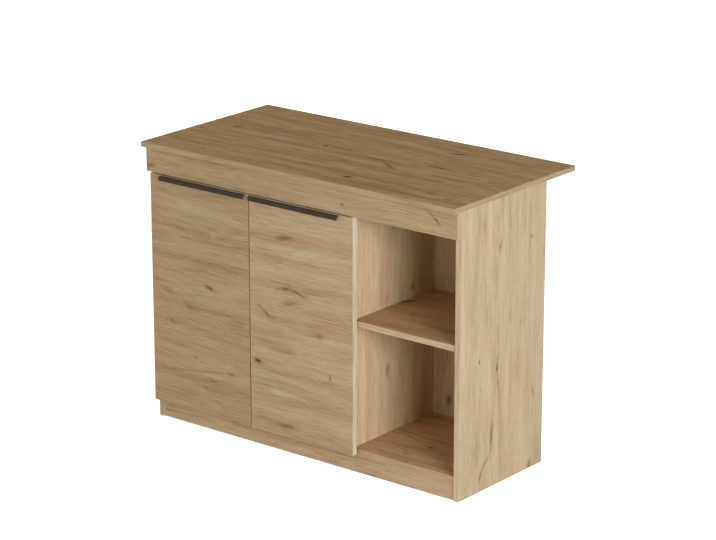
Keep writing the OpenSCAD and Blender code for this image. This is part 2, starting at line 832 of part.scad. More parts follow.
module cam_bolts() {
    color(steel) for (p = cam_places)
        translate([p[0], p[2], p[3]]) toward(p[1] > 0 ? "x" : "-x") {
            translate([0, 0, -panel_hole]) cylinder(r = bolt_r - 0.5, h = panel_hole);
            cylinder(r = bolt_r + 0.8, h = 1.2);
            cylinder(r = bolt_r - 0.7, h = cam_inset - 2);
            translate([0, 0, cam_inset - 5]) cylinder(r = bolt_head_r, h = 5);
        }
}

module dowel() {
    cylinder(r = dowel_r, h = dowel_len);
}

module dowels() {
    color(beech) {
        for (p = dowel_places)
            translate([p[0] - p[1] * panel_hole, p[2], p[3]]) toward(p[1] > 0 ? "x" : "-x") dowel();
        for (y = part_dowel_y)
            translate([x_part + board_t / 2, y, z_bottom - panel_hole]) dowel();
        for (z = back_dowel_z) {
            translate([x_l_in - panel_hole, y_back_in + board_t / 2, z]) toward("x") dowel();
            translate([x_r_in + panel_hole, y_back_in + board_t / 2, z]) toward("-x") dowel();
        }
    }
}

// Steel angles hold the apron to the front rails
module corner_braces() {
    color(steel) for (x = brace_places)
        difference() {
            union() {
                board([x - brace_w / 2, y_f, z_rail - brace_t], [brace_w, brace_leg, brace_t]);
                board([x - brace_w / 2, y_f, z_rail - brace_leg], [brace_w, brace_t, brace_leg]);
            }
            translate([x, y_f + brace_leg * 0.62, z_rail - brace_t]) screw_hole(small_screw_len);
            translate([x, y_f + brace_t, z_rail - brace_leg * 0.62])
                toward("-y") screw_hole(small_screw_len);
        }
}

module brace_screws() {
    color(steel) for (x = brace_places) {
        translate([x, y_f + brace_leg * 0.62, z_rail - brace_t]) wood_screw(small_screw_len);
        translate([x, y_f + brace_t, z_rail - brace_leg * 0.62]) toward("-y") wood_screw(small_screw_len);
    }
}

module worktop_screws() {
    color(steel) for (p = worktop_screw_places)
        translate([p[0], p[1], z_rail]) wood_screw(worktop_screw_len);
}

module back_screws() {
    color(steel) for (p = back_screw_places)
        translate([p[0], y_back_out, p[1]]) toward("-y") wood_screw(back_screw_len);
}

// Nail-on glides under the side panels and plinths
module floor_glides() {
    color(nylon) for (p = glide_places) {
        translate([p[0], p[1], 0]) cylinder(r = glide_r, h = glide_h);
        translate([p[0], p[1], glide_h - eps]) cylinder(r = 1, h = 12);
    }
}

worktop();
front_apron();
left_side_panel();
right_side_panel();
partition();
bottom_panel();
back_panel();
front_plinth();
rear_plinth();
plinth_support();
cupboard_front_rail();
cupboard_rear_rail();
bay_front_rail();
bay_rear_rail();
bay_shelf();
cupboard_shelf();
shelf_pins();
left_door();
right_door();
left_handle();
right_handle();
left_handle_screws();
right_handle_screws();
left_upper_hinge_plate();
left_lower_hinge_plate();
right_upper_hinge_plate();
right_lower_hinge_plate();
hinge_pins();
hinge_plate_screws();
left_door_bushes();
right_door_bushes();
magnet_catches();
catch_magnets();
catch_screws();
left_strike_plate();
right_strike_plate();
left_strike_screw();
right_strike_screw();
left_door_bumpers();
right_door_bumpers();
cam_locks();
cam_bolts();
dowels();
corner_braces();
brace_screws();
worktop_screws();
back_screws();
floor_glides();
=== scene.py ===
import json
import math

import bpy
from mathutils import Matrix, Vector


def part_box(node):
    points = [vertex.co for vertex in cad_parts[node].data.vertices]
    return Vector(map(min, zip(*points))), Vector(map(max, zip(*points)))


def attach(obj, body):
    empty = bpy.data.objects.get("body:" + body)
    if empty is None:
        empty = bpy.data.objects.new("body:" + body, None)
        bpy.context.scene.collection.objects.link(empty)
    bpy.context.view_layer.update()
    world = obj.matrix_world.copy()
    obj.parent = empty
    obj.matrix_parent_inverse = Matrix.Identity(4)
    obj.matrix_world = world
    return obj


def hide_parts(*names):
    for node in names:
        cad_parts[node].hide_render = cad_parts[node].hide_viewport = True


bl_info = {
    "name": "Kitchen bar cabinet",
    "version": (1, 0, 0),
    "blender": (4, 5, 0),
    "location": "3D View > Sidebar > Cabinet",
    "description": "Dresses a kitchen bar cabinet: boards, doors, handles, fittings and stage",
    "category": "Object",
}

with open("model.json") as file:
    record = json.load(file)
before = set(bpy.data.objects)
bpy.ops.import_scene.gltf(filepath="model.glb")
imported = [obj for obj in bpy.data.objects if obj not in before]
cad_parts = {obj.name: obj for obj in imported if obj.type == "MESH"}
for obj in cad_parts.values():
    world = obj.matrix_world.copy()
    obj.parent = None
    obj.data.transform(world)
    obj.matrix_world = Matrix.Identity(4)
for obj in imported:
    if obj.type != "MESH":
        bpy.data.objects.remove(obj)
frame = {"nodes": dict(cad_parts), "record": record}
NODES = frame["nodes"]
BODY_OF = {node: body for body, members in frame["record"]["behaviour"]["bodies"].items() for node in members}
SLOT_OF = {part["node"]: part["material_slot"] for part in frame["record"]["subparts"]}
MM = 0.001
AXES = "xyz"


# Colours and nodes

AS_IT_IS = (1.0, 1.0, 1.0)
# The darkest and the lightest tone of the printed grain beside its middle one: the darker, the browner
DARK_SHARES = (0.72, 0.67, 0.60)
LIGHT_SHARES = (1.20, 1.26, 1.36)
# A colour mix's inputs, which are the second colour's share, the first and the second colour, and its output
SHARE, FIRST, SECOND, MIXED = 0, 6, 7, 2


def linear(hex_colour):
    """An sRGB hex colour as linear RGBA."""
    channels = [int(hex_colour[i:i + 2], 16) / 255 for i in (1, 3, 5)]
    return tuple(c / 12.92 if c <= 0.04045 else ((c + 0.055) / 1.055) ** 2.4 for c in channels) + (1.0,)


def shaded(tone, shares):
    """A tone as RGBA, with its red, green and blue scaled by their shares."""
    return tuple(channel * share for channel, share in zip(tone, shares)) + (1.0,)


def add_node(tree, kind, sockets=None, **settings):
    """Adds a node with its settings, and sets or links each input that sockets names or numbers."""
    node = tree.nodes.new(kind)
    for name, value in settings.items():
        setattr(node, name, value)
    for key, value in (sockets or {}).items():
        if isinstance(value, bpy.types.NodeSocket):
            tree.links.new(value, node.inputs[key])
        else:
            node.inputs[key].default_value = value
    return node


def new_material(name):
    """An empty material with its shader, as (material, tree, shader)."""
    material = bpy.data.materials.new(name)
    material.use_nodes = True
    tree = material.node_tree
    tree.nodes.clear()
    shader = add_node(tree, "ShaderNodeBsdfPrincipled")
    add_node(tree, "ShaderNodeOutputMaterial", {"Surface": shader.outputs["BSDF"]})
    return material, tree, shader


def in_three_tones(tree, level, middle, spread):
    """The printed colour: the middle tone where level is a half, and the darkest or the lightest tone where
    level is spread or more below or above it."""
    below = add_node(
        tree, "ShaderNodeMapRange", {"Value": level, "From Min": 0.5 - spread, "From Max": 0.5},
    ).outputs[0]
    above = add_node(
        tree, "ShaderNodeMapRange", {"Value": level, "From Min": 0.5, "From Max": 0.5 + spread},
    ).outputs[0]
    darker = add_node(
        tree, "ShaderNodeMix",
        {SHARE: below, FIRST: shaded(middle, DARK_SHARES), SECOND: shaded(middle, AS_IT_IS)},
        data_type="RGBA",
    ).outputs[MIXED]
    return add_node(
        tree, "ShaderNodeMix", {SHARE: above, FIRST: darker, SECOND: shaded(middle, LIGHT_SHARES)},
        data_type="RGBA",
    ).outputs[MIXED]


# Board materials

# The printed grain's layers, each with the length and width of its marks in mm, and their detail
DRIFT = (500, 130, 2.0)
BANDS = (550, 34, 3.0)
THREADS = (170, 5, 4.0)
FIBRES = (50, 2.6, 3.0)
CLOUDS = (260, 50, 2.0)
PATCHES = (250, 30, 2.0)
# Open pores are short dark dashes, drawn about three times as coarse as they are, so that they show
PORES = (18, 1.5, 1.0)

# The same for the streaks and the slow changes of an edge band
BAND_STREAKS = (120, 5, 3.0)
BAND_CLOUDS = (300, 50, 2.0)

# How far the drift's noise moves the grain to either side, in metres: some 5 mm over half a metre
DRIFT_REACH = 0.03
# How far the print slides along for each metre deeper in the board
SLIDE_PER_DEPTH = 41.0
# How unevenly a mark's outline runs, along and across the grain, in metres, and the noise scale for that
MARK_WANDER = (0.010, 0.008, 0)
MARK_WANDER_SCALE = 110.0
# Marks at least this wide, in mm, are knots, and the grain parts round those of this strength or more
KNOT_WIDTH, PARTING_STRENGTH = 7, 0.5
# How far round a knot the grain is parted, in half widths, and by what share of its distance
PARTING_REACH, PARTING_SHARE = 2.2, 0.5


def grain(tree, plane, layer):
    """Noise drawn out along the grain, in marks of about the layer's length by its width."""
    length, width, detail = layer
    drawn = add_node(
        tree, "ShaderNodeVectorMath", {0: plane, 1: (1 / (length * MM), 1 / (width * MM), 0)},
        operation="MULTIPLY",
    ).outputs[0]
    return add_node(
        tree, "ShaderNodeTexNoise", {"Vector": drawn, "Scale": 1.0, "Detail": detail, "Roughness": 0.55},
        noise_dimensions="2D",
    ).outputs["Fac"]


def sheet_plane(tree, axes, face):
    """The printed sheet's own plane, first along the grain and second across it, in metres, as it lies on the
    board's showing face. Deeper in the board it slides along, so that the far face shows another stretch."""
    place = add_node(tree, "ShaderNodeTexCoord").outputs["Object"]
    split = add_node(tree, "ShaderNodeSeparateXYZ", {"Vector": place})
    along, across, through = (split.outputs[AXES.index(axis)] for axis in axes)
    depth = add_node(tree, "ShaderNodeMath", {0: through, 1: face}, operation="SUBTRACT").outputs[0]
    slid = add_node(
        tree, "ShaderNodeMath", {0: depth, 1: SLIDE_PER_DEPTH, 2: along}, operation="MULTIPLY_ADD",
    ).outputs[0]
    return add_node(tree, "ShaderNodeCombineXYZ", {"X": slid, "Y": across}).outputs[0]


def mark_layers(width, strength):
    """What a mark does to the print, as (layer, reach, level): a negative strength is a pale streak, and a
    dark mark has a warm halo, which is nearly all of a faint crack."""
    if strength < 0:
        return (("pale", 1.0, -strength),)
    if width < KNOT_WIDTH:
        return (("dark", 0.9, strength ** 1.5 * 1.2), ("warm", 1.9, strength * 0.6))
    return (("dark", 0.95, strength ** 1.4 * 0.95), ("warm", 1.8, strength * 0.7))


def marks_on(tree, plane, marks):
    """Knots, cracks and pale streaks as (plane with the grain parted round the knots, dark, warm, pale): the
    last three say how strongly each point is darkened, reddened or lightened."""
    blur = add_node(
        tree, "ShaderNodeTexNoise", {"Vector": plane, "Scale": MARK_WANDER_SCALE, "Detail": 3.0},
        noise_dimensions="2D",
    ).outputs["Color"]
    centred = add_node(
        tree, "ShaderNodeVectorMath", {0: blur, 1: (0.5, 0.5, 0.5)}, operation="SUBTRACT",
    ).outputs[0]
    wander = add_node(
        tree, "ShaderNodeVectorMath", {0: centred, 1: MARK_WANDER}, operation="MULTIPLY",
    ).outputs[0]
    rough = add_node(tree, "ShaderNodeVectorMath", {0: plane, 1: wander}, operation="ADD").outputs[0]
    totals = {"dark": None, "warm": None, "pale": None}
    for along, across, length, turn, width, strength in marks:
        lean = math.radians(turn)
        half_length = (length * 0.8 + width * 0.3) * MM
        half_width = width * (1.1 if width >= KNOT_WIDTH else 1.0) * MM
        # The point as seen from the mark's middle, with the mark's ends and sides at a distance of one
        local = add_node(
            tree, "ShaderNodeMapping",
            {
                "Vector": rough, "Location": Vector((along, across, 0)) * MM, "Rotation": (0, 0, lean),
                "Scale": (half_length, half_width, 1),
            },
            vector_type="TEXTURE",
        ).outputs[0]
        distance = add_node(tree, "ShaderNodeVectorMath", {0: local}, operation="LENGTH").outputs["Value"]
        for layer, reach, level in mark_layers(width, strength):
            spread = add_node(
                tree, "ShaderNodeMapRange",
                {"Value": distance, "From Min": reach, "From Max": 0.15, "To Min": 0.0, "To Max": level},
                interpolation_type="SMOOTHSTEP",
            ).outputs[0]
            total = totals[layer]
            totals[layer] = spread if total is None else add_node(
                tree, "ShaderNodeMath", {0: total, 1: spread}, operation="MAXIMUM",
            ).outputs[0]
        if width >= KNOT_WIDTH and strength >= PARTING_STRENGTH:
            beside = add_node(tree, "ShaderNodeSeparateXYZ", {"Vector": local}).outputs[1]
            near = add_node(
                tree, "ShaderNodeMapRange",
                {
                    "Value": distance, "From Min": PARTING_REACH, "From Max": 0.0, "To Min": 0.0,
                    "To Max": PARTING_SHARE,
                },
                interpolation_type="SMOOTHSTEP",
            ).outputs[0]
            moved = add_node(tree, "ShaderNodeMath", {0: beside, 1: near}, operation="MULTIPLY").outputs[0]
            across_mark = Vector((-math.sin(lean), math.cos(lean), 0)) * half_width
            push = add_node(
                tree, "ShaderNodeVectorMath", {0: across_mark, "Scale": moved}, operation="SCALE",
            ).outputs[0]
            plane = add_node(
                tree, "ShaderNodeVectorMath", {0: plane, 1: push}, operation="SUBTRACT",
            ).outputs[0]
    return plane, totals["dark"], totals["warm"], totals["pale"]


def oak_decor(name, axes, face, shift, middle, contrast, gloss, marks):
    """Melamine-faced board with a printed natural oak decor, pressed with a fine pore texture.
    The print gives long soft bands, faint threads and a few knots; the press gives a satin sheen."""
    material, tree, shader = new_material(name)
    plane = sheet_plane(tree, axes, face)
    plane, dark, warm, pale = marks_on(tree, plane, marks)
    sheet = add_node(
        tree, "ShaderNodeVectorMath", {0: plane, 1: (shift, shift * 0.37, 0)}, operation="ADD",
    ).outputs[0]
    drift = grain(tree, sheet, DRIFT)
    lift = add_node(tree, "ShaderNodeMath", {0: drift, 1: DRIFT_REACH}, operation="MULTIPLY").outputs[0]
    climb = add_node(tree, "ShaderNodeCombineXYZ", {"Y": lift}).outputs[0]
    lines = add_node(tree, "ShaderNodeVectorMath", {0: sheet, 1: climb}, operation="ADD").outputs[0]
    bands, threads, fibres, clouds = (grain(tree, lines, layer) for layer in (BANDS, THREADS, FIBRES, CLOUDS))
    # The weights add up to one, so that the sum stays about a half
    level = 0.0
    for layer, weight in ((fibres, 0.30), (threads, 0.26), (bands, 0.28), (clouds, 0.16)):
        level = add_node(
            tree, "ShaderNodeMath", {0: layer, 1: weight, 2: level}, operation="MULTIPLY_ADD",
        ).outputs[0]
    colour = in_three_tones(tree, level, middle, 0.15 / contrast)
    # Patches of warmer and of greener wood, as light as the middle tone
    patches = grain(tree, lines, PATCHES)
    for end, strength, shares in (
        (0.72, 0.42, (1.06, 0.88, 0.80)),
        (0.28, 0.25, (0.96, 1.03, 0.96)),
    ):
        patch = add_node(
            tree, "ShaderNodeMapRange",
            {"Value": patches, "From Min": 0.5, "From Max": end, "To Min": 0.0, "To Max": strength},
        ).outputs[0]
        colour = add_node(
            tree, "ShaderNodeMix", {SHARE: patch, FIRST: colour, SECOND: shaded(middle, shares)},
            data_type="RGBA",
        ).outputs[MIXED]
    # Thin brown lines where the growth rings show, and dark pores
    rings = add_node(
        tree, "ShaderNodeMapRange",
        {"Value": threads, "From Min": 0.38, "From Max": 0.25, "To Min": 0.0, "To Max": 0.15 * contrast},
    ).outputs[0]
    dashes = grain(tree, lines, PORES)
    pores = add_node(
        tree, "ShaderNodeMapRange",
        {"Value": dashes, "From Min": 0.36, "From Max": 0.26, "To Min": 0.0, "To Max": 0.2},
    ).outputs[0]
    scored = add_node(tree, "ShaderNodeMath", {0: rings, 1: pores}, operation="MAXIMUM").outputs[0]
    tints = ((scored, "#7A573A"), (pale, "#CDBB96"), (warm, "#8F6142"), (dark, "#4E3822"))
    for mask, tint in tints:
        if mask is not None:
            colour = add_node(
                tree, "ShaderNodeMix", {SHARE: mask, FIRST: colour, SECOND: linear(tint)}, data_type="RGBA",
            ).outputs[MIXED]
    tree.links.new(colour, shader.inputs["Base Color"])
    # Satin melamine: a little duller in the pressed pores
    sheen = add_node(
        tree, "ShaderNodeMapRange",
        {"Value": threads, "From Min": 0.3, "From Max": 0.7, "To Min": 0.66, "To Max": 0.56},
    ).outputs[0]
    tree.links.new(sheen, shader.inputs["Roughness"])
    shader.inputs["Specular IOR Level"].default_value = gloss
    relief = add_node(tree, "ShaderNodeMath", {0: threads, 1: pores}, operation="SUBTRACT").outputs[0]
    bump = add_node(tree, "ShaderNodeBump", {"Height": relief, "Strength": 0.2, "Distance": 0.4 * MM})
    tree.links.new(bump.outputs["Normal"], shader.inputs["Normal"])
    return material


def edge_band(name, axis, middle):
    """ABS edge band, 0.8 mm thick, printed to match the board: fine straight streaks along its length."""
    material, tree, shader = new_material(name)
    place = add_node(tree, "ShaderNodeTexCoord").outputs["Object"]
    split = add_node(tree, "ShaderNodeSeparateXYZ", {"Vector": place})
    others = [split.outputs[AXES.index(a)] for a in AXES if a != axis]
    across = add_node(tree, "ShaderNodeMath", {0: others[0], 1: others[1]}).outputs[0]
    plane = add_node(
        tree, "ShaderNodeCombineXYZ", {"X": split.outputs[AXES.index(axis)], "Y": across},
    ).outputs[0]
    streaks = grain(tree, plane, BAND_STREAKS)
    slow = grain(tree, plane, BAND_CLOUDS)
    level = add_node(tree, "ShaderNodeMath", {0: slow, 1: 0.4}, operation="MULTIPLY").outputs[0]
    level = add_node(
        tree, "ShaderNodeMath", {0: streaks, 1: 0.6, 2: level}, operation="MULTIPLY_ADD",
    ).outputs[0]
    tree.links.new(in_three_tones(tree, level, middle, 0.25), shader.inputs["Base Color"])
    shader.inputs["Roughness"].default_value = 0.5
    shader.inputs["Specular IOR Level"].default_value = 0.2
    bump = add_node(tree, "ShaderNodeBump", {"Height": streaks, "Strength": 0.15, "Distance": 0.3 * MM})
    tree.links.new(bump.outputs["Normal"], shader.inputs["Normal"])
    return material


# Chips of about 2.4 mm and dust of about 1.1 mm, as noise scales
CHIP_SCALE, DUST_SCALE = 420.0, 900.0


def raw_chipboard():
    """Sawn particle board, where no band covers it: matt wood chips 1 to 4 mm across, pressed in resin."""
    material, tree, shader = new_material("raw_chipboard")
    place = add_node(tree, "ShaderNodeTexCoord").outputs["Object"]
    chips = add_node(tree, "ShaderNodeTexVoronoi", {"Vector": place, "Scale": CHIP_SCALE}, feature="F1")
    dust = add_node(
        tree, "ShaderNodeTexNoise", {"Vector": place, "Scale": DUST_SCALE, "Detail": 2.0},
    ).outputs["Fac"]
    hue = add_node(tree, "ShaderNodeSeparateColor", {"Color": chips.outputs["Color"]}).outputs[0]
    colour = add_node(
        tree, "ShaderNodeMix", {SHARE: hue, FIRST: linear("#A98A60"), SECOND: linear("#CDB389")},
        data_type="RGBA",
    ).outputs[MIXED]
    dusty = add_node(
        tree, "ShaderNodeMapRange",
        {"Value": dust, "From Min": 0.55, "From Max": 0.75, "To Min": 0.0, "To Max": 0.5},
    ).outputs[0]
    colour = add_node(
        tree, "ShaderNodeMix", {SHARE: dusty, FIRST: colour, SECOND: linear("#8A6C46")}, data_type="RGBA",
    ).outputs[MIXED]
    tree.links.new(colour, shader.inputs["Base Color"])
    shader.inputs["Roughness"].default_value = 0.85
    bump = add_node(
        tree, "ShaderNodeBump", {"Height": chips.outputs["Distance"], "Strength": 0.4, "Distance": 0.5 * MM},
    )
    tree.links.new(bump.outputs["Normal"], shader.inputs["Normal"])
    return material


# Fitting materials

# Drawing lines on the handles are about 0.1 mm apart; they are drawn at 0.8 mm so that they show
DRAWING_LINES = (90, 0.8, 3.0)
HANDLE_CLOUDS = (50, 12, 2.0)


def anodised_aluminium(colour_value):
    """Dark anodised aluminium extrusion: matt, with faint drawing lines along its length."""
    material, tree, shader = new_material("dark_anodised_aluminium")
    place = add_node(tree, "ShaderNodeTexCoord").outputs["Object"]
    split = add_node(tree, "ShaderNodeSeparateXYZ", {"Vector": place})
    across = add_node(tree, "ShaderNodeMath", {0: split.outputs[1], 1: split.outputs[2]}).outputs[0]
    plane = add_node(tree, "ShaderNodeCombineXYZ", {"X": split.outputs[0], "Y": across}).outputs[0]
    lines = grain(tree, plane, DRAWING_LINES)
    clouds = grain(tree, plane, HANDLE_CLOUDS)
    level = add_node(tree, "ShaderNodeMath", {0: clouds, 1: 0.4}, operation="MULTIPLY").outputs[0]
    level = add_node(
        tree, "ShaderNodeMath", {0: lines, 1: 0.6, 2: level}, operation="MULTIPLY_ADD",
    ).outputs[0]
    share = add_node(
        tree, "ShaderNodeMapRange", {"Value": level, "From Min": 0.35, "From Max": 0.65},
    ).outputs[0]
    colour = add_node(
        tree, "ShaderNodeMix",
        {SHARE: share, FIRST: shaded(colour_value, (0.72, 0.72, 0.72)), SECOND: colour_value},
        data_type="RGBA",
    ).outputs[MIXED]
    tree.links.new(colour, shader.inputs["Base Color"])
    shader.inputs["Metallic"].default_value = 1.0
    sheen = add_node(
        tree, "ShaderNodeMapRange",
        {"Value": lines, "From Min": 0.3, "From Max": 0.7, "To Min": 0.2, "To Max": 0.3},
    ).outputs[0]
    tree.links.new(sheen, shader.inputs["Roughness"])
    bump = add_node(tree, "ShaderNodeBump", {"Height": lines, "Strength": 0.12, "Distance": 0.1 * MM})
    tree.links.new(bump.outputs["Normal"], shader.inputs["Normal"])
    return material


def grained(name, light, dark, metallic, rough, grain_size):
    """A plain finish between two tones, whose sheen varies over spots of the grain's size, in mm."""
    material, tree, shader = new_material(name)
    place = add_node(tree, "ShaderNodeTexCoord").outputs["Object"]
    noise = add_node(
        tree, "ShaderNodeTexNoise", {"Vector": place, "Scale": 1 / (grain_size * MM), "Detail": 3.0},
    ).outputs["Fac"]
    share = add_node(
        tree, "ShaderNodeMapRange", {"Value": noise, "From Min": 0.3, "From Max": 0.7},
    ).outputs[0]
    colour = add_node(
        tree, "ShaderNodeMix", {SHARE: share, FIRST: linear(dark), SECOND: linear(light)}, data_type="RGBA",
    ).outputs[MIXED]
    tree.links.new(colour, shader.inputs["Base Color"])
    shader.inputs["Metallic"].default_value = metallic
    sheen = add_node(
        tree, "ShaderNodeMapRange",
        {"Value": noise, "From Min": 0.3, "From Max": 0.7, "To Min": rough * 0.8, "To Max": rough * 1.25},
    ).outputs[0]
    tree.links.new(sheen, shader.inputs["Roughness"])
    bump = add_node(tree, "ShaderNodeBump", {"Height": noise, "Strength": 0.15, "Distance": 0.1 * MM})
    tree.links.new(bump.outputs["Normal"], shader.inputs["Normal"])
    return material


def zinc_plated_steel():
    """Bright zinc plate on pressed or turned steel: shiny, faintly clouded."""
    return grained("zinc_plated_steel", "#C3C6C8", "#A6AAAE", 1.0, 0.34, 4)


def cast_zinc():
    """Die-cast zinc alloy: greyer and duller, with the mould's skin."""
    return grained("cast_zinc", "#A9ABAD", "#8F9193", 1.0, 0.48, 1.5)


def natural_nylon():
    """Moulded nylon: off-white and slightly waxy."""
    return grained("natural_nylon", "#DDD8CB", "#D2CCBD", 0.0, 0.45, 1.2)


def soft_bumper():
    """Soft clear polyurethane drop, seen as a pale smooth dot."""
    return grained("soft_polyurethane", "#E2E3E0", "#D6D8D5", 0.0, 0.3, 3)


def sintered_ferrite():
    """Sintered ferrite magnet: nearly black and matt."""
    return grained("sintered_ferrite", "#303032", "#232325", 0.0, 0.6, 0.8)


def turned_beech():
    """Turned beech dowel: pale brown with short flecks."""
    return grained("turned_beech", "#D9B98B", "#C6A070", 0.0, 0.7, 2)


FITTING_MAKERS = {
    "zinc_steel": zinc_plated_steel, "zinc_die_cast": cast_zinc, "nylon": natural_nylon,
    "clear_bumper": soft_bumper, "ferrite": sintered_ferrite, "beech": turned_beech,
}
FITTING_MATERIALS = {}


def fitting_material(slot):
    """The material of a record slot that isn't board, made once."""
    if slot not in FITTING_MATERIALS:
        FITTING_MATERIALS[slot] = FITTING_MAKERS[slot]()
    return FITTING_MATERIALS[slot]


# Shaping

# Points nearer than this, in metres, are merged, and places nearer than the second value are the same
MERGE_WITHIN, SAME_WITHIN = 1e-6, 1e-5
# Faces that turn by less than the first angle are one flat face, edges under the second are shaded smooth,
# and edges over the third are broken
FLAT_WITHIN, SMOOTH_UNDER, SHARP_OVER = math.radians(0.4), math.radians(35), math.radians(40)


def pick(piece):
    """Makes a piece the only one selected, and the active one."""
    bpy.ops.object.select_all(action="DESELECT")
    piece.select_set(True)
    bpy.context.view_layer.objects.active = piece


def solid_copy(node, name):
    """A CAD node's shape as a new object: its triangles merged, and its flat faces made whole."""
    piece = bpy.data.objects.new(name, NODES[node].data.copy())
    bpy.context.scene.collection.objects.link(piece)
    piece.data.materials.clear()
    pick(piece)
    bpy.ops.object.mode_set(mode="EDIT")
    bpy.ops.mesh.select_mode(type="EDGE")
    bpy.ops.mesh.select_all(action="SELECT")
    bpy.ops.mesh.remove_doubles(threshold=MERGE_WITHIN)
    bpy.ops.mesh.dissolve_limited(angle_limit=FLAT_WITHIN)
    bpy.ops.object.mode_set(mode="OBJECT")
    return piece


def select_edges(piece, chosen):
    """Selects just the edges that chosen accepts, given both ends' places, and goes to edit mode."""
    mesh = piece.data
    for group in (mesh.vertices, mesh.edges, mesh.polygons):
        group.foreach_set("select", [False] * len(group))
    for edge in mesh.edges:
        ends = [mesh.vertices[i].co for i in edge.vertices]
        edge.select = chosen(*ends)
    bpy.ops.object.mode_set(mode="EDIT")


def settle(piece, node):
    """Finishes a piece's shading, with its large faces flat beside their rounded edges, gives it its
    body and hides the CAD node that it stands in for."""
    pick(piece)
    bpy.ops.object.shade_smooth_by_angle(angle=SMOOTH_UNDER)
    flat = piece.modifiers.new("flat_faces", "WEIGHTED_NORMAL")
    flat.keep_sharp = True
    bpy.ops.object.modifier_apply(modifier=flat.name)
    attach(piece, BODY_OF[node])
    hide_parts(node)


def rounded_copy(node, radius, material):
    """A fitting with its sharp edges broken by a small radius."""
    piece = solid_copy(node, node + "_dressed")
    bevel = piece.modifiers.new("broken_edges", "BEVEL")
    bevel.width, bevel.segments, bevel.limit_method = radius, 2, "ANGLE"
    bevel.angle_limit = SHARP_OVER
    bevel.use_clamp_overlap = True
    bpy.ops.object.modifier_apply(modifier=bevel.name)
    piece.data.materials.append(material)
    settle(piece, node)
    return piece


def plane_of(side, low, high):
    """A side such as "-y" as (axis number, sign, place)."""
    axis, sign = AXES.index(side[1]), 1 if side[0] == "+" else -1
    return axis, sign, (high if sign > 0 else low)[axis]


def banded_board(node, axes, decor, edges, raw, settings):
    """One board: decor faces, an edge band with its thin seam on each banded side, raw edges elsewhere."""
    piece = solid_copy(node, node + "_board")
    low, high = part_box(node)
    radius, tape = settings.edge_radius, settings.tape_thickness
    through = AXES.index(axes[2])
    # The seam between band and face lies one band's thickness in from the edge
    bpy.ops.object.mode_set(mode="EDIT")
    for side in edges:
        axis, sign, place = plane_of(side, low, high)
        point, normal = [0.0, 0.0, 0.0], [0.0, 0.0, 0.0]
        point[axis], normal[axis] = place - sign * tape, 1.0
        bpy.ops.mesh.select_all(action="SELECT")
        bpy.ops.mesh.bisect(plane_co=point, plane_no=normal, threshold=MERGE_WITHIN)
    bpy.ops.object.mode_set(mode="OBJECT")

    def on_corner(first, second):
        """Whether an edge lies on two of the board's outer sides."""
        shared = 0
        for axis in range(3):
            for place in (low[axis], high[axis]):
                if max(abs(first[axis] - place), abs(second[axis] - place)) < SAME_WITHIN:
                    shared += 1
        return shared >= 2

    select_edges(piece, on_corner)
    bpy.ops.mesh.bevel(offset=radius, segments=3, profile=0.5, affect="EDGES", clamp_overlap=True)
    bpy.ops.object.mode_set(mode="OBJECT")
    for material in (decor, *edges.values(), raw):
        piece.data.materials.append(material)
    bands = [plane_of(side, low, high) for side in edges]
    # A little under the band's thickness and over the edge radius, which leaves room for rounding
    in_band, near_outside = tape * 0.99, radius * 1.01
    # Faces that point this much through the board, or more, show its decor
    facing = 0.7
    for face in piece.data.polygons:
        centre = face.center
        band = next((i for i, (axis, _, at) in enumerate(bands) if abs(centre[axis] - at) < in_band), None)
        outer = any(
            min(abs(centre[axis] - low[axis]), abs(centre[axis] - high[axis])) < near_outside
            for axis in range(3)
        )
        if band is not None and outer:
            face.material_index = 1 + band
        elif abs(face.normal[through]) > facing and outer:
            face.material_index = 0
        else:
            face.material_index = len(edges) + 1
    settle(piece, node)
    return piece


